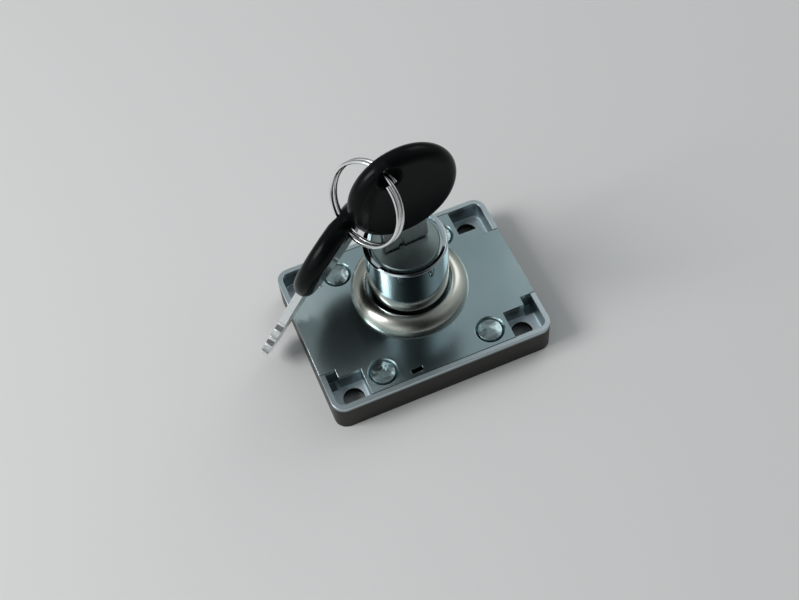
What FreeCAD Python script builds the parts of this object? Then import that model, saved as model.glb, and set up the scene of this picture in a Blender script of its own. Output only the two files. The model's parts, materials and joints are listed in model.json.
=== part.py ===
import FreeCAD, Part
import math
import os

from FreeCAD import Placement, Rotation, Vector

os.makedirs("parts", exist_ok=True)

# Drawer lock with a keyed cylinder, in millimetres.
# +Z is the cylinder's axis and points out of the drawer front, z = 0 is the front face of the cover plate,
# and the bolt leaves the case towards +Y. The lock lies on the flat back of its case.

# Case: a shallow die-cast tray with a rim round it and a screw pocket in each corner
CASE_LENGTH = 53.5
CASE_WIDTH = 40.6
CASE_DEPTH = 8.5
CASE_WALL = 1.2
CASE_FLOOR = 1.2
CASE_CORNER_RADIUS = 3.0
CASE_CENTRE_X = -1.0
CASE_CENTRE_Y = -3.6
POCKET_LENGTH = 9.2
POCKET_WIDTH = 8.2
SIDE_STRIP_LENGTH = 3.8
SIDE_STRIP_WIDTH = 10.4
POCKET_DEPTH = 5.3
TROUGH_DEPTH = 6.6
TROUGH_WIDTH = 1.9

# Mounting screws pass through the pockets and sink into the back
SCREW_SPACING_X = 42.0
SCREW_SPACING_Y = 31.0
SCREW_HOLE_RADIUS = 2.5
SCREW_HEAD_RADIUS = 3.6
SCREW_HEAD_DEPTH = 1.6

# Cover plate and the four rivets that hold it
COVER_THICKNESS = 1.2
COVER_GAP = 0.03
COVER_EDGE_GAP = 0.12
COVER_SLOT_LENGTH = 2.8
COVER_SLOT_WIDTH = 1.1
COVER_SLOT_X = -7.1
COVER_SLOT_INSET = 1.4
RIVET_SPACING_X = 26.4
RIVET_SHIFT_X = -0.1
RIVET_INSET_FRONT = 5.4
RIVET_INSET_BACK = 6.4
RIVET_SHANK_RADIUS = 1.5
RIVET_HEAD_RADIUS = 2.8
RIVET_HEAD_DEPTH = 0.7
RIVET_CROWN = 0.4
RIVET_END_GAP = 0.2
RIVET_POST_WALL = 1.1
COUNTERSINK_RADIUS = 3.45
COUNTERSINK_DEPTH = 0.95
PRESS_GAP = 0.02

# Cylinder barrel
BARREL_RADIUS = 9.5
BARREL_HEIGHT = 18.5
BARREL_TOP_ROUND = 0.35
BARREL_FLANGE_RADIUS = 12.2
BARREL_FLANGE_THICKNESS = 1.1
BARREL_MOUTH_DEPTH = 1.5
BARREL_MOUTH_RADIUS = 8.4
WAFER_GROOVE_WIDTH = 7.2
WAFER_GROOVE_DEPTH = 1.1
WAFER_GROOVE_TOP_GAP = 2.2

# Plug that turns in the barrel
PLUG_RADIUS = 6.9
PLUG_FIT = 0.06
PLUG_FACE_RADIUS = 7.75
PLUG_FACE_SINK = 0.2
PLUG_FACE_EDGE = 0.25
TENON_SIDE = 6.0

# Wafers and their springs
WAFER_COUNT = 5
WAFER_PITCH = 2.3
WAFER_FIRST_Z = 5.8
WAFER_THICKNESS = 1.0
WAFER_WIDTH = 6.8
WAFER_INSET = 0.25
WAFER_EAR_LENGTH = 1.2
WAFER_EAR_REACH = 1.3
SPRING_LENGTH = 3.4
SPRING_RADIUS = 0.45
WAFER_CLEARANCE = 0.1

# Drive cam and bolt
CAM_RADIUS = 7.9
CAM_THICKNESS = 0.85
CAM_PIN_RADIUS = 1.5
BOLT_THROW = 7.0
BOLT_WIDTH = 17.0
BOLT_LENGTH = 30.0
BOLT_THICKNESS = 3.6
BOLT_NOSE_EDGE = 0.5
BOLT_NOSE_SINK = 0.2
BOLT_SIDE_GAP = 0.2
BOLT_FACE_GAP = 0.1
BOLT_SLOT_GAP = 0.3
RAIL_WIDTH = 1.4
PLUG_TURN_DEGREES = 90.0

# Trim ring round the barrel
TRIM_OUTER_RADIUS = 13.8
TRIM_CROWN_RADIUS = 11.0
TRIM_INNER_RADIUS = 10.35
TRIM_HEIGHT = 3.2
TRIM_EDGE_HEIGHT = 0.7
TRIM_SEAT_GAP = 0.05

# Keys: a steel blade moulded into a round plastic head
KEY_HEAD_DIAMETER = 25.0
KEY_HEAD_THICKNESS = 4.8
KEY_HEAD_OFFSET = 0.5
KEY_NECK_HEIGHT = 5.9
KEY_BLADE_LENGTH = 20.0
KEY_BLADE_WIDTH = 8.4
KEY_BLADE_THICKNESS = 1.8
KEY_SHOULDER_WIDTH = 10.6
KEY_SHOULDER_GAP = 0.4
KEY_TANG_LENGTH = 7.0
KEY_TIP_LENGTH = 2.4
KEY_TIP_WIDTH = 2.6
KEY_GROOVE_WIDTH = 1.5
KEY_GROOVE_DEPTH = 0.55
KEY_GROOVE_OFFSET = 1.2
KEY_CUTS_LEFT = (0.5, 1.3, 0.8, 1.5, 0.9)
KEY_CUTS_RIGHT = (1.2, 0.6, 1.4, 0.7, 1.1)
KEY_CUT_FLAT = 0.5
KEYWAY_GAP = 0.15
KEYWAY_SIDE_GAP = 0.3
KEY_HOLE_RADIUS = 2.3
KEY_HOLE_X = -3.0
KEY_HOLE_FROM_TOP = 4.1
KEY_HOLE_CHAMFER = 1.0
KEY_TURN_IN_PLUG = 4.3

# Split ring through both keys
RING_RADIUS = 9.3
RING_WIRE_RADIUS = 0.45
RING_COIL_GAP = 0.42
RING_TURNS = 2
RING_HANG = 115.8
RING_LEAN = 3.6
RING_TWIST = 20.8
RING_END_ANGLE = -19.0
RING_WIRE_DROP = 0.3

# The spare key hangs from the ring and leans on the case's short edge
SPARE_RING_ANGLE = 164.0
SPARE_HEADING = 189.5
SPARE_ROLL = 33.5
SPARE_LEAN_GAP = 0.25

CASE_X0 = CASE_CENTRE_X - CASE_LENGTH / 2
CASE_X1 = CASE_CENTRE_X + CASE_LENGTH / 2
CASE_Y0 = CASE_CENTRE_Y - CASE_WIDTH / 2
CASE_Y1 = CASE_CENTRE_Y + CASE_WIDTH / 2
COVER_BACK = -COVER_THICKNESS
FLOOR_TOP = CASE_FLOOR - CASE_DEPTH
BORE_RADIUS = PLUG_RADIUS + PLUG_FIT
MOUTH_FLOOR = BARREL_HEIGHT - BARREL_MOUTH_DEPTH
FLANGE_TOP = COVER_BACK - COVER_GAP
FLANGE_BACK = FLANGE_TOP - BARREL_FLANGE_THICKNESS
CAM_FRONT = FLANGE_BACK - BOLT_FACE_GAP
CAM_BACK = CAM_FRONT - CAM_THICKNESS
BOLT_BACK = FLOOR_TOP + BOLT_FACE_GAP
BOLT_FRONT = BOLT_BACK + BOLT_THICKNESS
PIN_ORBIT = BOLT_THROW / 2 / math.sin(math.radians(PLUG_TURN_DEGREES / 2))
PIN_START = 180.0 + PLUG_TURN_DEGREES / 2
PLUG_FACE = BARREL_HEIGHT - PLUG_FACE_SINK
HEAD_BOTTOM = PLUG_FACE + KEY_NECK_HEIGHT
HEAD_CENTRE = HEAD_BOTTOM + KEY_HEAD_DIAMETER / 2
HEAD_TOP = HEAD_BOTTOM + KEY_HEAD_DIAMETER
HOLE_HEIGHT = HEAD_TOP - KEY_HOLE_FROM_TOP
BLADE_TIP = HEAD_BOTTOM - KEY_BLADE_LENGTH
COIL_PITCH = 2 * RING_WIRE_RADIUS + RING_COIL_GAP


def box(x0, x1, y0, y1, z0, z1):
    return Part.makeBox(x1 - x0, y1 - y0, z1 - z0, Vector(x0, y0, z0))


def cylinder(radius, z0, z1, x=0.0, y=0.0):
    return Part.makeCylinder(radius, z1 - z0, Vector(x, y, z0))


def revolve(outline):
    """Turns a closed outline of (radius, z) points round the Z axis."""
    points = [Vector(r, 0, z) for r, z in outline]
    face = Part.Face(Part.makePolygon(points + points[:1]))
    return face.revolve(Vector(0, 0, 0), Vector(0, 0, 1), 360)


def prism(points, z0, z1):
    corners = [Vector(x, y, z0) for x, y in points]
    return Part.Face(Part.makePolygon(corners + corners[:1])).extrude(Vector(0, 0, z1 - z0))


def save(name, shape):
    if len(shape.Solids) == 1:
        shape = shape.Solids[0]
    shape.exportStep("parts/" + name + ".step")


def upright_edges(shape, x, y):
    """The vertical edges that stand at one point of the plan."""
    found = []
    for edge in shape.Edges:
        first, last = edge.Vertexes[0].Point, edge.Vertexes[-1].Point
        at_place = all(abs(p.x - x) < 0.01 and abs(p.y - y) < 0.01 for p in (first, last))
        if at_place and abs(first.z - last.z) > 0.1:
            found.append(edge)
    return found


def rounded_plan(x0, x1, y0, y1, z0, z1, radius):
    block = box(x0, x1, y0, y1, z0, z1)
    edges = []
    for x in (x0, x1):
        for y in (y0, y1):
            edges += upright_edges(block, x, y)
    return block.makeFillet(radius, edges)


def cover_outline(inset):
    """Plan of the cover plate: it runs over both short walls and steps round the four corner pockets."""
    long_x = CASE_LENGTH / 2 - inset
    strip_x = CASE_LENGTH / 2 - SIDE_STRIP_LENGTH - inset
    pocket_x = CASE_LENGTH / 2 - POCKET_LENGTH - inset
    strip_y = CASE_WIDTH / 2 - SIDE_STRIP_WIDTH - inset
    pocket_y = CASE_WIDTH / 2 - POCKET_WIDTH - inset
    long_y = CASE_WIDTH / 2 - CASE_WALL - inset
    quarter = [
        (long_x, strip_y),
        (strip_x, strip_y),
        (strip_x, pocket_y),
        (pocket_x, pocket_y),
        (pocket_x, long_y),
    ]
    outline = list(quarter)
    outline += [(-x, y) for x, y in reversed(quarter)]
    outline += [(-x, -y) for x, y in quarter]
    outline += [(x, -y) for x, y in reversed(quarter)]
    return [(CASE_CENTRE_X + x, CASE_CENTRE_Y + y) for x, y in outline]


def screw_places():
    for side in (-1, 1):
        for end in (-1, 1):
            yield CASE_CENTRE_X + side * SCREW_SPACING_X / 2, CASE_CENTRE_Y + end * SCREW_SPACING_Y / 2


def rivet_places():
    for y in (CASE_Y0 + RIVET_INSET_FRONT, CASE_Y1 - RIVET_INSET_BACK):
        for side in (-1, 1):
            yield CASE_CENTRE_X + RIVET_SHIFT_X + side * RIVET_SPACING_X / 2, y


def make_case():
    case = rounded_plan(CASE_X0, CASE_X1, CASE_Y0, CASE_Y1, -CASE_DEPTH, 0, CASE_CORNER_RADIUS)
    inside = (CASE_X0 + CASE_WALL, CASE_X1 - CASE_WALL, CASE_Y0 + CASE_WALL, CASE_Y1 - CASE_WALL)
    inner_radius = CASE_CORNER_RADIUS - CASE_WALL
    seat = prism(cover_outline(-COVER_EDGE_GAP), COVER_BACK - COVER_GAP, 1)
    under_cover = prism(cover_outline(0), -CASE_DEPTH, 1)
    pockets = rounded_plan(*inside, -POCKET_DEPTH, 1, inner_radius).cut(under_cover)
    cavity = prism(cover_outline(CASE_WALL), FLOOR_TOP, 1)
    case = case.cut(seat).cut(pockets).cut(cavity)

    # A narrow trough runs beside each short wall, and a screw hole with a sunk back goes through each pad
    trough_y = CASE_WIDTH / 2 - SIDE_STRIP_WIDTH
    for side in (-1, 1):
        wall_x = CASE_CENTRE_X + side * (CASE_LENGTH / 2 - CASE_WALL)
        for end in (-1, 1):
            x_pair = sorted((wall_x, wall_x - side * TROUGH_WIDTH))
            y_pair = sorted((CASE_CENTRE_Y + end * trough_y, CASE_CENTRE_Y + end * (CASE_WIDTH / 2 - POCKET_WIDTH)))
            case = case.cut(box(*x_pair, *y_pair, -TROUGH_DEPTH, 0))
    for x, y in screw_places():
        case = case.cut(cylinder(SCREW_HOLE_RADIUS, -CASE_DEPTH, 0, x, y))
        case = case.cut(cylinder(SCREW_HEAD_RADIUS, -CASE_DEPTH, SCREW_HEAD_DEPTH - CASE_DEPTH, x, y))

    # Two rails guide the bolt and carry the barrel's flange
    rail_top = FLANGE_BACK - COVER_GAP
    rail_inner = BOLT_WIDTH / 2 + BOLT_SIDE_GAP
    rail_y0 = CASE_CENTRE_Y - CASE_WIDTH / 2 + 2 * CASE_WALL
    rail_y1 = CASE_CENTRE_Y + CASE_WIDTH / 2 - 2 * CASE_WALL
    for side in (-1, 1):
        x_pair = sorted((side * rail_inner, side * (rail_inner + RAIL_WIDTH)))
        case = case.fuse(box(*x_pair, rail_y0, rail_y1, FLOOR_TOP, rail_top))

    for x, y in rivet_places():
        post = cylinder(RIVET_SHANK_RADIUS + RIVET_POST_WALL, FLOOR_TOP, COVER_BACK - COVER_GAP, x, y)
        case = case.fuse(post)
    for x, y in rivet_places():
        case = case.cut(cylinder(RIVET_SHANK_RADIUS + PRESS_GAP, FLOOR_TOP, 0, x, y))

    # The bolt leaves through the back long wall
    opening = box(-rail_inner, rail_inner, rail_y1 - CASE_WALL, CASE_Y1 + 1, FLOOR_TOP, BOLT_FRONT + BOLT_FACE_GAP)
    return case.cut(opening).removeSplitter()


def make_cover():
    cover = prism(cover_outline(0), COVER_BACK, 0)
    cover = cover.cut(cylinder(BARREL_RADIUS + COVER_GAP, COVER_BACK, 0))
    for x, y in rivet_places():
        cover = cover.cut(cylinder(RIVET_SHANK_RADIUS + PRESS_GAP, COVER_BACK, 0, x, y))
        sink = Part.makeCone(RIVET_HEAD_RADIUS, COUNTERSINK_RADIUS, COUNTERSINK_DEPTH)
        sink.translate(Vector(x, y, -COUNTERSINK_DEPTH))
        cover = cover.cut(sink)
    slot_y = CASE_Y0 + CASE_WALL + COVER_SLOT_INSET
    slot_x0 = COVER_SLOT_X - COVER_SLOT_LENGTH / 2
    slot_x1 = COVER_SLOT_X + COVER_SLOT_LENGTH / 2
    slot = box(slot_x0, slot_x1, slot_y - COVER_SLOT_WIDTH / 2, slot_y + COVER_SLOT_WIDTH / 2, COVER_BACK, 0)
    return cover.cut(slot)


def make_rivet(x, y):
    """A domed rivet whose head lies in the cover's countersink."""
    seat = -COUNTERSINK_DEPTH + PRESS_GAP
    shank = cylinder(RIVET_SHANK_RADIUS, FLOOR_TOP + RIVET_END_GAP, seat, x, y)
    rim_radius = RIVET_HEAD_RADIUS - PRESS_GAP
    head = cylinder(rim_radius, seat, seat + RIVET_HEAD_DEPTH, x, y)
    dome_radius = (rim_radius ** 2 + RIVET_CROWN ** 2) / (2 * RIVET_CROWN)
    ball = Part.makeSphere(dome_radius, Vector(x, y, seat + RIVET_HEAD_DEPTH + RIVET_CROWN - dome_radius))
    above = cylinder(RIVET_HEAD_RADIUS * 2, seat + RIVET_HEAD_DEPTH, seat + RIVET_HEAD_DEPTH + 1, x, y)
    return shank.fuse(head).fuse(ball.common(above)).removeSplitter()


def make_barrel():
    outline = [
        (BORE_RADIUS, FLANGE_BACK),
        (BARREL_FLANGE_RADIUS, FLANGE_BACK),
        (BARREL_FLANGE_RADIUS, FLANGE_TOP),
        (BARREL_RADIUS, FLANGE_TOP),
        (BARREL_RADIUS, BARREL_HEIGHT - BARREL_TOP_ROUND),
        (BARREL_RADIUS - BARREL_TOP_ROUND, BARREL_HEIGHT),
        (BARREL_MOUTH_RADIUS, BARREL_HEIGHT),
        (BARREL_MOUTH_RADIUS, MOUTH_FLOOR),
        (BORE_RADIUS, MOUTH_FLOOR),
    ]
    barrel = revolve(outline)
    groove_reach = BORE_RADIUS + WAFER_GROOVE_DEPTH
    half = WAFER_GROOVE_WIDTH / 2
    groove_top = MOUTH_FLOOR - WAFER_GROOVE_TOP_GAP
    groove = box(-groove_reach, groove_reach, -half, half, FLANGE_BACK, groove_top)
    for turn in (0, 90):
        cross = groove.copy()
        cross.rotate(Vector(0, 0, 0), Vector(0, 0, 1), turn)
        barrel = barrel.cut(cross)
    return barrel


def keyway_section():
    """Cross-section of the keyway: the key blade's, widened, with a rib for the groove along each face."""
    half_width = KEY_BLADE_WIDTH / 2 + KEYWAY_GAP
    half_thick = KEY_BLADE_THICKNESS / 2 + KEYWAY_SIDE_GAP
    depth = KEY_GROOVE_DEPTH
    groove_half = KEY_GROOVE_WIDTH / 2 - KEYWAY_GAP
    left, right = -KEY_GROOVE_OFFSET, KEY_GROOVE_OFFSET
    return [
        (-half_width, -half_thick),
        (left - groove_half, -half_thick),
        (left - groove_half, depth - half_thick),
        (left + groove_half, depth - half_thick),
        (left + groove_half, -half_thick),
        (half_width, -half_thick),
        (half_width, half_thick),
        (right + groove_half, half_thick),
        (right + groove_half, half_thick - depth),
        (right - groove_half, half_thick - depth),
        (right - groove_half, half_thick),
        (-half_width, half_thick),
    ]


def wafer_heights():
    return [WAFER_FIRST_Z + i * WAFER_PITCH for i in range(WAFER_COUNT)]


def turned_with_key(shape):
    shape.rotate(Vector(0, 0, 0), Vector(0, 0, 1), KEY_TURN_IN_PLUG)
    return shape


def make_plug():
    body = cylinder(PLUG_RADIUS, FLANGE_BACK - PLUG_FIT, MOUTH_FLOOR + PLUG_FIT)
    face_outline = [
        (0, MOUTH_FLOOR + PLUG_FIT),
        (PLUG_FACE_RADIUS, MOUTH_FLOOR + PLUG_FIT),
        (PLUG_FACE_RADIUS, PLUG_FACE - PLUG_FACE_EDGE),
        (PLUG_FACE_RADIUS - PLUG_FACE_EDGE, PLUG_FACE),
        (0, PLUG_FACE),
    ]
    plug = body.fuse(revolve(face_outline))
    half = TENON_SIDE / 2
    plug = plug.fuse(box(-half, half, -half, half, CAM_BACK, FLANGE_BACK))
    plug = plug.cut(prism(keyway_section(), BLADE_TIP - KEYWAY_GAP, PLUG_FACE + 1))

    # Each wafer slides in a slot right across the plug, with a chamber beside it for the ear and the spring
    room = WAFER_CLEARANCE
    slot_half = WAFER_WIDTH / 2 + room
    ear_y = WAFER_WIDTH / 2 + WAFER_EAR_REACH + room
    for z in wafer_heights():
        z0, z1 = z - WAFER_THICKNESS / 2 - room, z + WAFER_THICKNESS / 2 + room
        plug = plug.cut(box(-PLUG_RADIUS, PLUG_RADIUS, -slot_half, slot_half, z0, z1))
        chamber_x0 = -SPRING_LENGTH - room
        chamber_x1 = WAFER_EAR_LENGTH + room
        plug = plug.cut(box(chamber_x0, chamber_x1, 0, ear_y, z0, z1))
    return turned_with_key(plug.removeSplitter())


def make_wafer(z):
    """A flat wafer with a window for the key and one ear for its spring."""
    z0, z1 = z - WAFER_THICKNESS / 2, z + WAFER_THICKNESS / 2
    half = WAFER_WIDTH / 2
    plate = cylinder(PLUG_RADIUS - WAFER_INSET, z0, z1)
    plate = plate.common(box(-PLUG_RADIUS, PLUG_RADIUS, -half, half, z0, z1))
    plate = plate.fuse(box(0, WAFER_EAR_LENGTH, half, half + WAFER_EAR_REACH, z0, z1))
    window_x = KEY_BLADE_WIDTH / 2 + 2 * KEYWAY_GAP
    window_y = KEY_BLADE_THICKNESS / 2 + KEYWAY_SIDE_GAP + KEYWAY_GAP
    wafer = plate.cut(box(-window_x, window_x, -window_y, window_y, z0, z1))
    return turned_with_key(wafer.removeSplitter())


def make_wafer_spring(z):
    """The coil spring that presses on a wafer's ear, as the plain bar that it fills."""
    y = WAFER_WIDTH / 2 + WAFER_EAR_REACH / 2
    spring = Part.makeCylinder(SPRING_RADIUS, SPRING_LENGTH - PRESS_GAP, Vector(-SPRING_LENGTH, y, z), Vector(1, 0, 0))
    return turned_with_key(spring)


def make_cam():
    """The drive disc on the plug's tail, with the pin that works the bolt."""
    disc = cylinder(CAM_RADIUS, CAM_BACK, CAM_FRONT)
    half = TENON_SIDE / 2 + PRESS_GAP
    hole = turned_with_key(box(-half, half, -half, half, CAM_BACK, CAM_FRONT))
    angle = math.radians(PIN_START)
    pin_x, pin_y = PIN_ORBIT * math.cos(angle), PIN_ORBIT * math.sin(angle)
    pin = cylinder(CAM_PIN_RADIUS, BOLT_BACK + BOLT_FACE_GAP, CAM_BACK, pin_x, pin_y)
    return disc.cut(hole).fuse(pin).removeSplitter()


def make_bolt():
    nose_y = CASE_Y1 - BOLT_NOSE_SINK
    half = BOLT_WIDTH / 2
    bolt = box(-half, half, nose_y - BOLT_LENGTH, nose_y, BOLT_BACK, BOLT_FRONT)
    nose_edges = [e for e in bolt.Edges if all(abs(v.Point.y - nose_y) < 0.01 for v in e.Vertexes)]
    bolt = bolt.makeChamfer(BOLT_NOSE_EDGE, nose_edges)

    # The pin swings out sideways in this slot while it carries the bolt forwards
    start = math.radians(PIN_START)
    reach = CAM_PIN_RADIUS + BOLT_SLOT_GAP
    slot_x0 = -PIN_ORBIT - reach
    slot_x1 = PIN_ORBIT * math.cos(start) + reach
    pin_y = PIN_ORBIT * math.sin(start)
    return bolt.cut(box(slot_x0, slot_x1, pin_y - reach, pin_y + reach, BOLT_BACK, BOLT_FRONT))


def make_trim_ring():
    """A polished ring whose front rises from the outer edge to a crown beside the barrel."""
    seat, top = TRIM_SEAT_GAP, TRIM_SEAT_GAP + TRIM_HEIGHT
    edge = Vector(TRIM_OUTER_RADIUS, 0, seat + TRIM_EDGE_HEIGHT)
    crown = Vector(TRIM_CROWN_RADIUS, 0, top)
    belly = Vector((edge.x + crown.x) / 2 + TRIM_HEIGHT / 6, 0, (edge.z + crown.z) / 2 + TRIM_HEIGHT / 6)
    inner_top = Vector(TRIM_INNER_RADIUS, 0, top - (TRIM_CROWN_RADIUS - TRIM_INNER_RADIUS))
    inner = Vector(TRIM_INNER_RADIUS, 0, seat)
    outer = Vector(TRIM_OUTER_RADIUS, 0, seat)
    edges = [
        Part.makeLine(outer, edge),
        Part.Arc(edge, belly, crown).toShape(),
        Part.makeLine(crown, inner_top),
        Part.makeLine(inner_top, inner),
        Part.makeLine(inner, outer),
    ]
    return Part.Face(Part.Wire(edges)).revolve(Vector(0, 0, 0), Vector(0, 0, 1), 360)


def cut_edge(side, cuts):
    """One edge of the blade, from the shoulder down to the tip, with a notch at each wafer."""
    half = KEY_BLADE_WIDTH / 2
    points = []
    for z, depth in zip(reversed(wafer_heights()), reversed(cuts)):
        slope = WAFER_PITCH / 2 - KEY_CUT_FLAT / 2
        reach = min(slope, depth)
        points += [
            (side * half, z + KEY_CUT_FLAT / 2 + reach),
            (side * (half - depth), z + KEY_CUT_FLAT / 2),
            (side * (half - depth), z - KEY_CUT_FLAT / 2),
            (side * half, z - KEY_CUT_FLAT / 2 - reach),
        ]
    lowest = BLADE_TIP + KEY_TIP_LENGTH
    kept = [p for p in points if p[1] > lowest + 0.05]
    return kept + [(side * half, lowest), (side * KEY_TIP_WIDTH / 2, BLADE_TIP)]


def make_key_blade():
    """The steel blade of a key in its place in the plug, before the key's turn."""
    shoulder = KEY_SHOULDER_WIDTH / 2
    shoulder_z = PLUG_FACE + KEY_SHOULDER_GAP
    tang_top = HEAD_BOTTOM + KEY_TANG_LENGTH
    half = KEY_BLADE_WIDTH / 2
    right = [(shoulder, tang_top), (shoulder, shoulder_z), (half, shoulder_z)] + cut_edge(1, KEY_CUTS_RIGHT)
    left = [(-shoulder, tang_top), (-shoulder, shoulder_z), (-half, shoulder_z)] + cut_edge(-1, KEY_CUTS_LEFT)
    outline = right + list(reversed(left))
    thick = KEY_BLADE_THICKNESS / 2
    corners = [Vector(x, -thick, z) for x, z in outline]
    blade = Part.Face(Part.makePolygon(corners + corners[:1])).extrude(Vector(0, 2 * thick, 0))
    groove_top = HEAD_BOTTOM - KEY_NECK_HEIGHT / 2
    for side in (-1, 1):
        x0 = side * KEY_GROOVE_OFFSET - KEY_GROOVE_WIDTH / 2
        y_pair = sorted((side * (thick - KEY_GROOVE_DEPTH), side * thick))
        blade = blade.cut(box(x0, x0 + KEY_GROOVE_WIDTH, *y_pair, BLADE_TIP, groove_top))
    return blade


def make_key_head():
    """The round plastic head, with a full-round rim, a ring hole and a slot that holds the blade's tang."""
    thick = KEY_HEAD_THICKNESS / 2
    hole_axis = Vector(0, 1, 0)
    rim = KEY_HEAD_DIAMETER / 2
    corners = [Vector(0, thick, 0), Vector(0, -thick, 0), Vector(rim - thick, -thick, 0), Vector(rim - thick, thick, 0)]
    sides = [Part.makeLine(corners[3], corners[0]), Part.makeLine(corners[0], corners[1])]
    sides += [Part.makeLine(corners[1], corners[2]), Part.Arc(corners[2], Vector(rim, 0, 0), corners[3]).toShape()]
    head = Part.Face(Part.Wire(sides)).revolve(Vector(0, 0, 0), hole_axis, 360)
    head.translate(Vector(KEY_HEAD_OFFSET, 0, HEAD_CENTRE))
    hole_x = KEY_HOLE_X
    head = head.cut(Part.makeCylinder(KEY_HOLE_RADIUS, 2 * thick, Vector(hole_x, -thick, HOLE_HEIGHT), hole_axis))
    wide = KEY_HOLE_RADIUS + KEY_HOLE_CHAMFER
    for side in (-1, 1):
        mouth = Vector(hole_x, side * thick, HOLE_HEIGHT)
        head = head.cut(Part.makeCone(wide, KEY_HOLE_RADIUS, KEY_HOLE_CHAMFER, mouth, hole_axis * -side))
    tang_x = KEY_SHOULDER_WIDTH / 2 + PRESS_GAP
    tang_y = KEY_BLADE_THICKNESS / 2 + PRESS_GAP
    return head.cut(box(-tang_x, tang_x, -tang_y, tang_y, HEAD_BOTTOM - 1, HEAD_BOTTOM + KEY_TANG_LENGTH + PRESS_GAP))


def axes_placement(origin, x_axis, z_axis):
    y_axis = z_axis.cross(x_axis)
    return Placement(origin, Rotation(x_axis, y_axis, z_axis, "ZXY"))


def ring_frame():
    """Placement of the ring: local X points from its centre to the first key's hole, local Z is its axis."""
    turn = Rotation(Vector(0, 0, 1), KEY_TURN_IN_PLUG)
    across = turn.multVec(Vector(1, 0, 0))
    normal = turn.multVec(Vector(0, 1, 0))
    hang = math.radians(RING_HANG)
    lean = math.radians(RING_LEAN)
    downwards = across * math.cos(hang) - Vector(0, 0, 1) * math.sin(hang)
    towards_centre = downwards * math.cos(lean) + normal * math.sin(lean)
    wire_at_hole = across * KEY_HOLE_X + Vector(0, 0, HOLE_HEIGHT) + towards_centre * RING_WIRE_DROP
    centre = wire_at_hole + towards_centre * RING_RADIUS
    towards_hole = towards_centre * -1
    ring_axis = Rotation(towards_hole, RING_TWIST).multVec(normal.cross(downwards))
    return axes_placement(centre, towards_hole, ring_axis)


def helix_point(angle):
    lift = COIL_PITCH * (angle / 360 - 0.5)
    turn = math.radians(angle)
    return Vector(RING_RADIUS * math.cos(turn), RING_RADIUS * math.sin(turn), lift)


def helix_tangent(angle):
    turn = math.radians(angle)
    rise = COIL_PITCH / (2 * math.pi)
    along = Vector(-RING_RADIUS * math.sin(turn), RING_RADIUS * math.cos(turn), rise)
    return along.normalize()


def biarc(start, start_way, end, end_way):
    """Two arcs that join two points smoothly, for a given direction at each."""
    gap = end - start
    spread = start_way + end_way
    a = spread.dot(spread) - 4
    b = -2 * gap.dot(spread)
    length = (-b - math.sqrt(b * b - 4 * a * gap.dot(gap))) / (2 * a)
    first_knee = start + start_way * length
    last_knee = end - end_way * length
    joint = (first_knee + last_knee) * 0.5
    return [tangent_arc(start, start_way, joint), tangent_arc(end, end_way * -1, joint, True)]


def tangent_arc(start, way, end, backwards=False):
    """The arc that leaves a point in a given direction and ends at another."""
    chord = end - start
    side = chord - way * chord.dot(way)
    side.normalize()
    radius = chord.dot(chord) / (2 * chord.dot(side))
    centre = start + side * radius
    middle = (start + end) * 0.5 - centre
    middle.normalize()
    points = [start, centre + middle * radius, end]
    if backwards:
        points.reverse()
    return Part.Arc(*points).toShape()


def make_split_ring():
    """Two turns of round wire with free ends, as one unbroken tube."""
    edges = []
    for i in range(RING_TURNS * 2):
        a, b = RING_END_ANGLE + 180 * i, RING_END_ANGLE + 180 * (i + 1)
        edges += biarc(helix_point(a), helix_tangent(a), helix_point(b), helix_tangent(b))
    path = Part.Wire(edges)
    circle = Part.Circle(helix_point(RING_END_ANGLE), helix_tangent(RING_END_ANGLE), RING_WIRE_RADIUS)
    tube = path.makePipeShell([Part.Wire([circle.toShape()])], True, False)
    tube.Placement = ring_frame()

    # The same turn is measured on both coils, all the way round
    gaps = []
    for i in range(73):
        lower = helix_point(RING_END_ANGLE + 5 * i)
        upper = [helix_point(RING_END_ANGLE + 5 * i + 360 + away) for away in (-4, -2, 0, 2, 4)]
        gaps.append(min((point - lower).Length for point in upper) - 2 * RING_WIRE_RADIUS)
    print("Least gap between the split ring's coils: %.3f mm" % min(gaps))
    return tube


def spare_key_placement():
    """Where the spare key hangs: its hole is on the ring, and a notch leans on the short edge of the case."""
    frame = ring_frame()
    angle = math.radians(SPARE_RING_ANGLE)
    between_coils = COIL_PITCH * SPARE_RING_ANGLE / 360
    on_ring = Vector(RING_RADIUS * math.cos(angle), RING_RADIUS * math.sin(angle), between_coils)
    wire = frame.multVec(on_ring)
    heading = math.radians(SPARE_HEADING)
    outwards = Vector(math.cos(heading), math.sin(heading), 0)
    up = Vector(0, 0, 1)
    roll = math.radians(SPARE_ROLL)
    notched_edge = KEY_BLADE_WIDTH / 2 - min(KEY_CUTS_RIGHT)
    blade_half = notched_edge * math.cos(roll) + KEY_BLADE_THICKNESS / 2 * math.sin(roll)
    below_wire = blade_half + SPARE_LEAN_GAP - KEY_HOLE_X * math.cos(roll)
    edge_out = (CASE_X0 - wire.x) / outwards.x
    dip = math.atan2(wire.z, edge_out) - math.asin(below_wire / math.hypot(wire.z, edge_out))
    to_tip = outwards * math.cos(dip) - up * math.sin(dip)
    under = outwards * -math.sin(dip) - up * math.cos(dip)
    sideways = up.cross(outwards)
    blade_across = under * math.cos(roll) - sideways * math.sin(roll)
    hole = wire + to_tip * RING_WIRE_DROP
    rotation = axes_placement(Vector(0, 0, 0), blade_across, to_tip * -1)
    return Placement(hole - rotation.multVec(Vector(KEY_HOLE_X, 0, HOLE_HEIGHT)), rotation.Rotation)


def place_key(name, placement):
    blade, head = make_key_blade(), make_key_head()
    blade.Placement = placement
    head.Placement = placement
    save(name + "_blade", blade)
    save(name + "_head", head)


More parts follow.
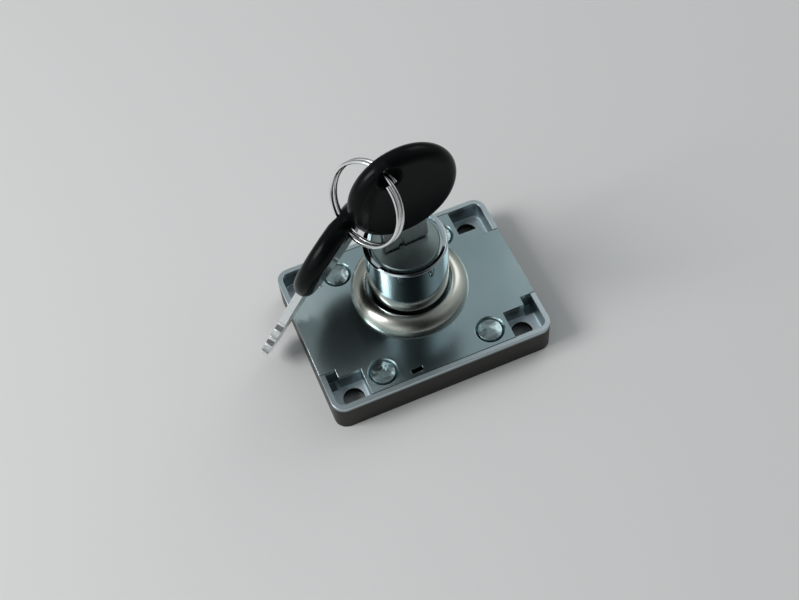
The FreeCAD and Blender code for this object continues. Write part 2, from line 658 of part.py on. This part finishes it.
save("lock_case", make_case())
save("cover_plate", make_cover())
for number, (rivet_x, rivet_y) in enumerate(rivet_places(), start=1):
    save("cover_rivet_%d" % number, make_rivet(rivet_x, rivet_y))
save("cylinder_barrel", make_barrel())
save("plug", make_plug())
for number, wafer_z in enumerate(wafer_heights(), start=1):
    save("wafer_%d" % number, make_wafer(wafer_z))
    save("wafer_spring_%d" % number, make_wafer_spring(wafer_z))
save("drive_cam", make_cam())
save("bolt", make_bolt())
save("trim_ring", make_trim_ring())
key_in_plug = Placement(Vector(0, 0, 0), Rotation(Vector(0, 0, 1), KEY_TURN_IN_PLUG))
place_key("key_1", key_in_plug)
place_key("key_2", spare_key_placement())
save("split_ring", make_split_ring())
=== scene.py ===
import json
import math

import bmesh
import bpy
from mathutils import Matrix, Vector


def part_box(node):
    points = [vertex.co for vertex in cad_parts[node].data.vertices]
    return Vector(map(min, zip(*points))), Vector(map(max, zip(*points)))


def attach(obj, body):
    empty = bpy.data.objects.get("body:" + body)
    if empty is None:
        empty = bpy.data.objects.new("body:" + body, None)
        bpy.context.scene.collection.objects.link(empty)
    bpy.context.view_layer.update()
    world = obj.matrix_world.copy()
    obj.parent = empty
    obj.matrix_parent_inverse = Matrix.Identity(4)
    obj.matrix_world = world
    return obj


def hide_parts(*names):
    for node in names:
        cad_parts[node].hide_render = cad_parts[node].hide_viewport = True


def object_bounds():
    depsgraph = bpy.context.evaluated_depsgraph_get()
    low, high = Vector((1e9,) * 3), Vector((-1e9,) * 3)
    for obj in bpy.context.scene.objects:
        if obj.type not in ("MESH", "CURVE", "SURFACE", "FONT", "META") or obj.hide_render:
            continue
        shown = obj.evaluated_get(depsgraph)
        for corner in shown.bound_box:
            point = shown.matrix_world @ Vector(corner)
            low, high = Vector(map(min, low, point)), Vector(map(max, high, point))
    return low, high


# A drawer lock with its keys, lying on its back on a pale table. Metres throughout.
# +Z is the cylinder's axis, +Y the way the bolt goes, z = 0 the front of the cover plate.
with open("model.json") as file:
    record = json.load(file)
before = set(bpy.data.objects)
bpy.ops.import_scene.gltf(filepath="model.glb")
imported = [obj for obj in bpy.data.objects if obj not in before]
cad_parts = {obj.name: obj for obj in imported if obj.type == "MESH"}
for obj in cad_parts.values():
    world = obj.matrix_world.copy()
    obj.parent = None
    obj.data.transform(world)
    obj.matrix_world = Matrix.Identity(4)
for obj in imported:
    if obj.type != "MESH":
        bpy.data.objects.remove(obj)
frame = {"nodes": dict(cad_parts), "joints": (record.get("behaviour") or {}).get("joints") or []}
packed_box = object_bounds()


# Camera
# The lock is seen from above the front edge, a little from the left, with the picture
# tilted slightly. The foot of the cylinder's axis stands at ORIGIN_PIXEL of the picture.
MM = 0.001
PICTURE_WIDTH = 799
PICTURE_MIDDLE = (399.5, 300.0)
ORIGIN_PIXEL = (409.42, 286.18)
FOCAL_PIXELS = 1229.75
SENSOR_WIDTH = 36.0
NEAR_LIMIT = 10.0 * MM
VIEW_DISTANCE = 0.28729
VIEW_TURN = math.radians(-17.39)
VIEW_HEIGHT = math.radians(57.55)
VIEW_ROLL = math.radians(-6.32)

towards_camera = Vector((
    math.sin(VIEW_TURN) * math.cos(VIEW_HEIGHT),
    -math.cos(VIEW_TURN) * math.cos(VIEW_HEIGHT),
    math.sin(VIEW_HEIGHT),
))
level_right = Vector((0, 0, 1)).cross(towards_camera).normalized()
level_up = towards_camera.cross(level_right)
right = level_right * math.cos(VIEW_ROLL) + level_up * math.sin(VIEW_ROLL)
up = level_up * math.cos(VIEW_ROLL) - level_right * math.sin(VIEW_ROLL)
metres_per_pixel = VIEW_DISTANCE / FOCAL_PIXELS
aside = (ORIGIN_PIXEL[0] - PICTURE_MIDDLE[0]) * metres_per_pixel
above = (PICTURE_MIDDLE[1] - ORIGIN_PIXEL[1]) * metres_per_pixel
camera_place = towards_camera * VIEW_DISTANCE - right * aside - up * above

lens = bpy.data.cameras.new("camera")
lens.sensor_width = SENSOR_WIDTH
lens.lens = FOCAL_PIXELS * SENSOR_WIDTH / PICTURE_WIDTH
lens.clip_start = NEAR_LIMIT
camera = bpy.data.objects.new("camera", lens)
camera_axes = Matrix((right, up, towards_camera)).transposed()
camera.matrix_world = Matrix.Translation(camera_place) @ camera_axes.to_4x4()
bpy.context.scene.collection.objects.link(camera)
bpy.context.scene.camera = camera
bpy.context.scene.view_settings.view_transform = "Standard"


# Table and light
# A pale matt table under a soft sky, which is lighter at the left and right, mid grey behind
# the lock and darker in front of it, so that the plated metal has contrast.

# Every finish is a set of shader nodes on the piece's own coordinates. A Signal is a value
# that varies over the piece, Shading adds nodes to a tree, and Finish shades a material.
def connect(tree, socket, value):
    """Links a signal to a socket, or sets a steady value on it."""
    if isinstance(value, Signal):
        tree.links.new(value.socket, socket)
    else:
        socket.default_value = value


class Signal:
    def __init__(self, tree, socket):
        self.tree = tree
        self.socket = socket

    def maths(self, operation, *values):
        node = self.tree.nodes.new("ShaderNodeMath")
        node.operation = operation
        for socket, value in zip(node.inputs, values):
            connect(self.tree, socket, value)
        return Signal(self.tree, node.outputs[0])

    def __add__(self, other):
        return self.maths("ADD", self, other)

    __radd__ = __add__

    def __sub__(self, other):
        return self.maths("SUBTRACT", self, other)

    def __rsub__(self, other):
        return self.maths("SUBTRACT", other, self)

    def __mul__(self, other):
        return self.maths("MULTIPLY", self, other)

    __rmul__ = __mul__

    def __truediv__(self, other):
        return self.maths("DIVIDE", self, other)

    def __rtruediv__(self, other):
        return self.maths("DIVIDE", other, self)

    def __pow__(self, other):
        return self.maths("POWER", self, other)

    def __rpow__(self, other):
        return self.maths("POWER", other, self)

    def at_least(self, other):
        return self.maths("MAXIMUM", self, other)

    def at_most(self, other):
        return self.maths("MINIMUM", self, other)

    def absolute(self):
        return self.maths("ABSOLUTE", self)

    def sine(self):
        return self.maths("SINE", self)

    def above(self, level, softness):
        """0 under a level and 1 over it, with a soft step between."""
        return ((self - level) / softness + 0.5).at_least(0.0).at_most(1.0)

    def below(self, level, softness):
        """1 under a level and 0 over it, with a soft step between."""
        return 1.0 - self.above(level, softness)

    def spread(self, low, high):
        """The low value where the signal is 0 and the high one where it is 1."""
        return self * (high - low) + low


def total(signals):
    return sum(signals[1:], signals[0])


class Shading:
    # ShaderNodeMix has sockets for numbers and vectors between those that a colour uses.
    MIX_FACTOR, MIX_LOW, MIX_HIGH, MIX_RESULT = 0, 6, 7, 2

    def __init__(self, tree):
        self.tree = tree

    def node(self, kind, output=0, settings=None, inputs=None, **sockets):
        """One node, with its settings, its inputs by number and its inputs by name."""
        node = self.tree.nodes.new(kind)
        for setting, value in (settings or {}).items():
            setattr(node, setting, value)
        for number, value in (inputs or {}).items():
            connect(self.tree, node.inputs[number], value)
        for name, value in sockets.items():
            connect(self.tree, node.inputs[name.replace("_", " ")], value)
        return Signal(self.tree, node.outputs[output])

    def vectors(self, operation, first, second):
        """The number that a sum on two vectors gives."""
        return self.node(
            "ShaderNodeVectorMath", "Value", {"operation": operation}, {0: first, 1: second})

    def place(self):
        return self.node("ShaderNodeTexCoord", "Object")

    def place_parts(self):
        """The piece's own X, Y and Z as three signals."""
        split = self.node("ShaderNodeSeparateXYZ", Vector=self.place()).socket.node
        return [Signal(self.tree, output) for output in split.outputs]

    def noise(self, scale, detail, stretch=None):
        where = self.place()
        if stretch:
            where = self.node("ShaderNodeMapping", Vector=where, Scale=stretch)
        return self.node("ShaderNodeTexNoise", Vector=where, Scale=scale, Detail=detail)

    def blend(self, factor, low, high):
        """A colour between two, by a factor. A colour is a signal or three numbers."""
        low, high = (end if isinstance(end, Signal) else (*end, 1.0) for end in (low, high))
        return self.node(
            "ShaderNodeMix", self.MIX_RESULT, {"data_type": "RGBA"},
            {self.MIX_FACTOR: factor, self.MIX_LOW: low, self.MIX_HIGH: high})

    def bump(self, height, distance, strength):
        return self.node("ShaderNodeBump", Height=height, Distance=distance, Strength=strength)


class Finish(Shading):
    def __init__(self, name, **steady):
        self.material = bpy.data.materials.new(name)
        self.material.use_nodes = True
        super().__init__(self.material.node_tree)
        self.surface = self.tree.nodes["Principled BSDF"]
        self.feed(**steady)

    def feed(self, **sockets):
        for name, value in sockets.items():
            connect(self.tree, self.surface.inputs[name.replace("_", " ")], value)


TABLE_SIZE = 3.0
TABLE_SINK = 0.02 * MM
table_finish = Finish("pale_table", Base_Color=(0.78, 0.78, 0.77, 1), Roughness=0.8)
table_grain = table_finish.noise(scale=220.0, detail=2.0)
table_finish.feed(Normal=table_finish.bump(table_grain, distance=0.1 * MM, strength=0.2))

table_height = packed_box[0][2] - TABLE_SINK
table_shape = bmesh.new()
bmesh.ops.create_grid(table_shape, x_segments=1, y_segments=1, size=TABLE_SIZE / 2)
bmesh.ops.translate(table_shape, verts=table_shape.verts, vec=(0, 0, table_height))
table_mesh = bpy.data.meshes.new("table")
table_shape.to_mesh(table_mesh)
table_shape.free()
table_mesh.materials.append(table_finish.material)
table = bpy.data.objects.new("table", table_mesh)
bpy.context.scene.collection.objects.link(table)

# Each glow in the sky has its direction, how tightly it gathers there and its strength.
SKY_GLOWS = (
    ((-0.80, 0.30, 0.52), 10.0, 0.62),
    ((-0.94, -0.05, 0.28), 24.0, 1.20),
    ((-0.68, -0.62, 0.36), 16.0, 0.85),
    ((0.86, 0.18, 0.48), 10.0, 0.50),
    ((0.50, -0.34, 0.80), 30.0, 0.30),
    ((0.02, 0.56, 0.82), 9.0, 0.24),
    ((-0.18, -0.72, 0.67), 3.0, -0.30),
)
SKY_LEVEL = 0.22
SKY_LEAST = 0.01
SKY_TINT = (0.92, 0.98, 1.0, 1.0)
sky = bpy.data.worlds.new("soft_sky")
bpy.context.scene.world = sky
sky.use_nodes = True
sky_shading = Shading(sky.node_tree)
sky_direction = sky_shading.node("ShaderNodeTexCoord", "Generated")
glows = []
for towards, tightness, strength in SKY_GLOWS:
    lean = sky_shading.vectors("DOT_PRODUCT", sky_direction, Vector(towards).normalized())
    glows.append(lean.at_least(0.0) ** tightness * strength)
sky_strength = (total(glows) + SKY_LEVEL).at_least(SKY_LEAST)
backdrop = sky.node_tree.nodes["Background"]
connect(sky.node_tree, backdrop.inputs["Color"], SKY_TINT)
connect(sky.node_tree, backdrop.inputs["Strength"], sky_strength)

# Each lamp faces the lock, and has its name, place, size and watts.
LAMPS = (
    ("window", (-0.46, 0.04, 0.42), 0.26, 1.9),
    ("soft_box", (0.42, 0.26, 0.46), 0.32, 0.5),
)
for lamp_name, lamp_place, lamp_size, lamp_watts in LAMPS:
    light = bpy.data.lights.new(lamp_name, "AREA")
    light.shape = "SQUARE"
    light.size = lamp_size
    light.energy = lamp_watts
    lamp = bpy.data.objects.new(lamp_name, light)
    lamp.location = lamp_place
    lamp.rotation_euler = Vector(lamp_place).to_track_quat("Z", "Y").to_euler()
    bpy.context.scene.collection.objects.link(lamp)


# Lock case
# The tray is a zinc die casting with a fine rounded rim, tumbled and then zinc-plated. The
# rim is bright. The screw pads are painted paler as painted light, the pockets' walls carry
# painted shade, and the outer walls and the screw holes are painted dark as shade.

# A visible piece is a copy of its imported solid, made whole and given softened edges. A piece
# that is hidden inside the lock keeps its imported mesh and only gets a finish.
MERGE_DISTANCE = 0.002 * MM
FLAT_ANGLE = math.radians(0.4)
SHARP_ANGLE = math.radians(35.0)
EDGE_SEGMENTS = 2


def whole_shape(node):
    """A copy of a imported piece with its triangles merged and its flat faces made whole."""
    shape = bmesh.new()
    shape.from_mesh(frame["nodes"][node].data)
    bmesh.ops.remove_doubles(shape, verts=shape.verts, dist=MERGE_DISTANCE)
    bmesh.ops.dissolve_limit(
        shape, angle_limit=FLAT_ANGLE, verts=shape.verts, edges=shape.edges,
        use_dissolve_boundaries=False)
    return shape


def piece(name, shape, finish, body, stands_for, edge=0.0):
    """Makes an object of a bmesh, softens its sharp edges and fixes it to a body."""
    mesh = bpy.data.meshes.new(name)
    shape.to_mesh(mesh)
    shape.free()
    mesh.materials.append(finish.material)
    made = bpy.data.objects.new(name, mesh)
    bpy.context.scene.collection.objects.link(made)
    for face in mesh.polygons:
        face.use_smooth = True
    if edge:
        softened = made.modifiers.new("softened edges", "BEVEL")
        softened.width = edge
        softened.segments = EDGE_SEGMENTS
        softened.limit_method = "ANGLE"
        softened.angle_limit = SHARP_ANGLE
        softened.use_clamp_overlap = True
    settled = made.modifiers.new("level flats", "WEIGHTED_NORMAL")
    settled.keep_sharp = True
    mesh.set_sharp_from_angle(angle=SHARP_ANGLE)
    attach(made, body)
    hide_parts(stands_for)


def distance(first, second):
    """How far off a point is, from how far off it is along two axes."""
    return (first * first + second * second) ** 0.5


TRAY_CORNER = 3.0 * MM
TRAY_WALL = 1.2 * MM
RIM_DEPTH = 1.0 * MM
PAD_HEIGHT = -5.3 * MM
PAD_BOTTOM = PAD_HEIGHT - 0.15 * MM
PAD_BOTTOM_FADE = 0.1 * MM
PAD_TOP = PAD_HEIGHT + 0.4 * MM
PAD_TOP_FADE = 0.3 * MM
HOLE_REACH = 23.56 * MM
HOLE_FADE = 0.05 * MM
POCKET_WALL_SHADE = 0.75
CLOUD_ROUGHNESS = 0.10
DULL_ROUGHNESS = 0.14
PAD_ROUGHNESS = 0.30
tray_low, tray_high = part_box("lock_case")
cast_zinc = Finish("cast_zinc", Metallic=1.0)
cast_grain = cast_zinc.noise(scale=900.0, detail=4.0)
cast_cloud = cast_zinc.noise(scale=70.0, detail=3.0)
cast_x, cast_y, cast_z = cast_zinc.place_parts()
off_centre = []
past_corner = []
for part, low, high in zip((cast_x, cast_y), tray_low, tray_high):
    off_centre.append((part - (low + high) / 2).absolute())
    past_corner.append((off_centre[-1] - ((high - low) / 2 - TRAY_CORNER)).at_least(0.0))
from_bend = distance(*past_corner)
outer_skin = from_bend.above(TRAY_CORNER - TRAY_WALL / 3, TRAY_WALL / 4)
below_rim = cast_z.below(-RIM_DEPTH, RIM_DEPTH)
below_pad = cast_z.below(PAD_BOTTOM, PAD_BOTTOM_FADE)
near_pad = cast_z.below(PAD_TOP, PAD_TOP_FADE)
in_hole = below_pad * off_centre[0].below(HOLE_REACH, HOLE_FADE)
on_pad = near_pad * (1.0 - below_pad) * (1.0 - outer_skin)
on_wall = below_rim * (1.0 - near_pad) * (1.0 - outer_skin)
# Painted shade: the outer walls below the rim and the screw holes get a near-black colour, and
# they are also rougher.
shade_and_dull = (outer_skin * below_rim + in_hole).at_most(1.0)
cast_painted_shade = cast_zinc.blend(cast_cloud, (0.031, 0.030, 0.028), (0.054, 0.052, 0.049))
cast_bright = cast_zinc.blend(cast_cloud, (0.46, 0.55, 0.58), (0.62, 0.70, 0.73))
# Painted light: the screw pads on the pocket floors are coloured paler than the rim.
cast_painted_light = cast_zinc.blend(cast_cloud, (0.74, 0.84, 0.88), (0.86, 0.94, 0.97))
# Painted shade: the walls inside the pockets are coloured darker.
cast_shaded_walls = cast_zinc.blend(on_wall * POCKET_WALL_SHADE, cast_bright, (0.14, 0.19, 0.21))
cast_inside = cast_zinc.blend(on_pad, cast_shaded_walls, cast_painted_light)
cast_zinc.feed(
    Base_Color=cast_zinc.blend(shade_and_dull, cast_inside, cast_painted_shade),
    Roughness=cast_grain.spread(0.215, 0.315) + cast_cloud * CLOUD_ROUGHNESS
    + shade_and_dull * DULL_ROUGHNESS + on_pad * PAD_ROUGHNESS,
    Normal=cast_zinc.bump(cast_grain, distance=0.015 * MM, strength=0.3),
)
piece("lock_tray", whole_shape("lock_case"), cast_zinc, "case", "lock_case",
      edge=0.22 * MM)


# Cover plate
# A stamped sheet with bright zinc plate, pressed flat into the tray's rim. Handling has left
# faint clouds and hair scratches on it and dulled its left end, which is also painted paler
# as a painted reflection. Its seam is painted dark as painted shade.
SEAM_DEPTH = 0.03 * MM
SEAM_WIDTH = 0.3 * MM
WEAR_AND_SHEEN_END = -11.5 * MM
WEAR_AND_SHEEN_FADE = 11.0 * MM
WEAR_AND_SHEEN_PATCH = 11.0 * MM
PAINTED_SHEEN_STRENGTH = 0.7
WORN_ROUGHNESS = 0.16
SCRATCH_ROUGHNESS = 0.04
MOST_ROUGHNESS = 0.265
sheet_low, sheet_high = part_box("cover_plate")
bright_zinc = Finish("bright_zinc", Metallic=1.0)
sheet_cloud = bright_zinc.noise(scale=55.0, detail=4.0)
sheet_wave = bright_zinc.noise(scale=90.0, detail=1.0)
sheet_scratch = bright_zinc.noise(scale=260.0, detail=3.0, stretch=(1.0, 14.0, 1.0))
sheet_x, sheet_y, sheet_z = bright_zinc.place_parts()
from_middle = (sheet_y - (sheet_low[1] + sheet_high[1]) / 2).absolute()
edge_line = (sheet_high[1] - sheet_low[1]) / 2 - SEAM_WIDTH
at_edge = from_middle.above(edge_line, SEAM_WIDTH / 4)
# Painted shade: the seam along the sheet's long edges is coloured near black.
seam_painted_shade = at_edge * sheet_z.below(-SEAM_DEPTH, SEAM_DEPTH)
# The left end is rougher from wear, and it is also coloured paler as a painted reflection.
wear_and_painted_sheen = (sheet_x + sheet_cloud * WEAR_AND_SHEEN_PATCH).below(WEAR_AND_SHEEN_END, WEAR_AND_SHEEN_FADE)
sheet_clean = bright_zinc.blend(sheet_cloud, (0.32, 0.44, 0.46), (0.49, 0.61, 0.635))
sheet_painted_sheen = bright_zinc.blend(wear_and_painted_sheen * PAINTED_SHEEN_STRENGTH, sheet_clean, (0.70, 0.82, 0.83))
sheet_roughness = (
    sheet_cloud.spread(0.10, 0.24) + sheet_scratch * SCRATCH_ROUGHNESS + wear_and_painted_sheen * WORN_ROUGHNESS)
bright_zinc.feed(
    Base_Color=bright_zinc.blend(seam_painted_shade, sheet_painted_sheen, (0.02, 0.025, 0.025)),
    Roughness=sheet_roughness.at_most(MOST_ROUGHNESS),
    Normal=bright_zinc.bump(sheet_wave, distance=0.12 * MM, strength=0.35),
)
piece("cover_sheet", whole_shape("cover_plate"), bright_zinc, "case",
      "cover_plate", edge=0.10 * MM)


# Cover rivets
# Four soft steel rivets, set from the front with a domed tool: each head has small flats
# and dimples, and lies in its countersink.
RIVET_COUNT = 4
rivet_steel = Finish("rivet_steel", Metallic=1.0)
hammer_marks = rivet_steel.noise(scale=620.0, detail=1.0)
rivet_steel.feed(
    Base_Color=rivet_steel.blend(hammer_marks, (0.22, 0.30, 0.31), (0.44, 0.54, 0.55)),
    Roughness=hammer_marks.spread(0.20, 0.34),
    Normal=rivet_steel.bump(hammer_marks, distance=0.4 * MM, strength=0.45),
)
for number in range(1, RIVET_COUNT + 1):
    rivet = "cover_rivet_%d" % number
    piece("rivet_head_%d" % number, whole_shape(rivet), rivet_steel, "case",
          rivet, edge=0.06 * MM)


# Cylinder barrel
# Turned brass with polished chrome plate: a tall plain wall, a small round at the lip and a
# recess in which the plug's face turns.
chrome = Finish("barrel_chrome", Metallic=1.0)
chrome_haze = chrome.noise(scale=140.0, detail=3.0)
chrome.feed(
    Base_Color=chrome.blend(chrome_haze, (0.60, 0.68, 0.71), (0.68, 0.76, 0.79)),
    Roughness=chrome_haze.spread(0.03, 0.09),
)
piece("barrel_tube", whole_shape("cylinder_barrel"), chrome, "case",
      "cylinder_barrel", edge=0.12 * MM)


# Plug
# The plug's face is turned, so fine rings run round it, with a keyway cut across. The plate
# on it is duller than the barrel's. The rings' wave turns by TURNING_RATE radians a metre.
TURNING_RATE = 42000.0
turned_face = Finish("turned_face", Metallic=1.0)
face_x, face_y, face_z = turned_face.place_parts()
turning = (distance(face_x, face_y) * TURNING_RATE).sine()
face_cloud = turned_face.noise(scale=160.0, detail=3.0)
turned_face.feed(
    Base_Color=turned_face.blend(face_cloud, (0.26, 0.33, 0.32), (0.42, 0.50, 0.49)),
    Roughness=face_cloud.spread(0.26, 0.40),
    Normal=turned_face.bump(turning, distance=0.004 * MM, strength=0.35),
)
piece("plug_body", whole_shape("plug"), turned_face, "plug", "plug",
      edge=0.10 * MM)


# Wafers and their springs
# Five stamped brass wafers, each pushed out by a small coil spring of steel wire. They are
# all hidden in the plug.
def dress(node, finish):
    """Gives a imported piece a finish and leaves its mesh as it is."""
    mesh = frame["nodes"][node].data
    mesh.materials.clear()
    mesh.materials.append(finish.material)


WAFER_COUNT = 5
brass = Finish("stamped_brass", Metallic=1.0)
brass_cloud = brass.noise(scale=500.0, detail=3.0)
brass.feed(
    Base_Color=brass.blend(brass_cloud, (0.62, 0.44, 0.17), (0.74, 0.56, 0.26)),
    Roughness=brass_cloud.spread(0.25, 0.40),
)
spring_wire = Finish("spring_wire", Metallic=1.0)
wire_cloud = spring_wire.noise(scale=900.0, detail=2.0)
spring_wire.feed(
    Base_Color=spring_wire.blend(wire_cloud, (0.42, 0.43, 0.45), (0.56, 0.57, 0.60)),
    Roughness=wire_cloud.spread(0.22, 0.37),
)
for number in range(1, WAFER_COUNT + 1):
    dress("wafer_%d" % number, brass)
    dress("wafer_spring_%d" % number, spring_wire)


# Drive cam
# A zinc-plated steel pressing on the plug's square tail, with the pin that moves the bolt.
# It is hidden in the case.
cam_plate = Finish("cam_plate", Metallic=1.0)
cam_cloud = cam_plate.noise(scale=300.0, detail=3.0)
cam_plate.feed(
    Base_Color=cam_plate.blend(cam_cloud, (0.40, 0.43, 0.45), (0.52, 0.55, 0.57)),
    Roughness=cam_cloud.spread(0.28, 0.43),
)
dress("drive_cam", cam_plate)


# Bolt
# A flat zinc die casting whose nose shows in the case's long edge. It is rubbed bright along
# the way that it slides.
bolt_zinc = Finish("bolt_zinc", Metallic=1.0)
bolt_rub = bolt_zinc.noise(scale=240.0, detail=4.0, stretch=(6.0, 0.6, 6.0))
bolt_zinc.feed(
    Base_Color=bolt_zinc.blend(bolt_rub, (0.44, 0.47, 0.49), (0.60, 0.63, 0.64)),
    Roughness=bolt_rub.spread(0.18, 0.38),
    Normal=bolt_zinc.bump(bolt_rub, distance=0.01 * MM, strength=0.4),
)
piece("bolt_bar", whole_shape("bolt"), bolt_zinc, "bolt", "bolt",
      edge=0.12 * MM)


# Trim ring
# A turned brass ring with polished nickel plate, which looks warmer than the chrome. Its
# front rises in one soft curve to a narrow crown beside the barrel. COLLAR_OUTLINE is its
# section, as radii and heights in millimetres.
COLLAR_OUTLINE = (
    (13.80, 0.05), (13.80, 0.60), (13.52, 1.50), (12.90, 2.36), (11.98, 3.02), (11.10, 3.34),
    (10.50, 3.42), (10.12, 3.30), (10.05, 3.00), (10.05, 0.05),
)
COLLAR_STEPS = 128
nickel = Finish("trim_nickel", Metallic=1.0)
nickel_haze = nickel.noise(scale=120.0, detail=3.0)
nickel.feed(
    Base_Color=nickel.blend(nickel_haze, (0.47, 0.48, 0.43), (0.58, 0.59, 0.53)),
    Roughness=nickel_haze.spread(0.22, 0.34),
)
collar = bmesh.new()
corners = [
    collar.verts.new((radius * MM, 0.0, height * MM)) for radius, height in COLLAR_OUTLINE]
for first, second in zip(corners, corners[1:] + corners[:1]):
    collar.edges.new((first, second))
bmesh.ops.spin(
    collar, geom=collar.verts[:] + collar.edges[:], cent=(0, 0, 0), axis=(0, 0, 1),
    angle=math.tau, steps=COLLAR_STEPS, use_merge=True)
bmesh.ops.recalc_face_normals(collar, faces=collar.faces)
piece("trim_collar", collar, nickel, "trim_ring", "trim_ring")


# Keys
# Each key is a nickel-plated steel blank, milled and notched, moulded into a round head of
# black gloss plastic with a full-round rim. The ring has scuffed the mouth of its hole.
MOUTH_RADIUS = 3.5 * MM
MOUTH_FADE = 0.35 * MM
MOUTH_ROUGHNESS = 0.6
blade_steel = Finish("blade_steel", Metallic=1.0)
milling = blade_steel.noise(scale=420.0, detail=3.0, stretch=(5.0, 5.0, 0.7))
blade_steel.feed(
    Base_Color=blade_steel.blend(milling, (0.82, 0.83, 0.83), (0.92, 0.93, 0.93)),
    Roughness=milling.spread(0.24, 0.34),
    Normal=blade_steel.bump(milling, distance=0.005 * MM, strength=0.3),
)
black_plastic = Finish("black_plastic", Specular_IOR_Level=0.08)
moulding = black_plastic.noise(scale=260.0, detail=3.0)
mouths = []
for joint in frame["joints"]:
    if joint["name"] in ("ring_swing", "key_2_swing"):
        from_hole = black_plastic.vectors("DISTANCE", black_plastic.place(), joint["pos_m"])
        mouths.append(from_hole.below(MOUTH_RADIUS, MOUTH_FADE))
black_plastic.feed(
    Base_Color=black_plastic.blend(moulding, (0.002, 0.0032, 0.0032), (0.0045, 0.006, 0.006)),
    Roughness=moulding.spread(0.16, 0.28) + total(mouths) * MOUTH_ROUGHNESS,
    Normal=black_plastic.bump(moulding, distance=0.04 * MM, strength=0.25),
)
for key in ("key_1", "key_2"):
    piece(key + "_steel", whole_shape(key + "_blade"), blade_steel, key,
          key + "_blade", edge=0.10 * MM)
    piece(key + "_grip", whole_shape(key + "_head"), black_plastic, key,
          key + "_head")


# Split ring
# Two turns of bright spring wire through both heads, a little open, with blunt cut ends.
# The wire is polished, with a faint haze from handling.
ring_wire = Finish("ring_wire", Metallic=1.0)
ring_haze = ring_wire.noise(scale=300.0, detail=3.0)
ring_wire.feed(
    Base_Color=ring_wire.blend(ring_haze, (0.72, 0.73, 0.73), (0.84, 0.85, 0.85)),
    Roughness=ring_haze.spread(0.12, 0.22),
)
piece("ring_turns", whole_shape("split_ring"), ring_wire, "split_ring",
      "split_ring")
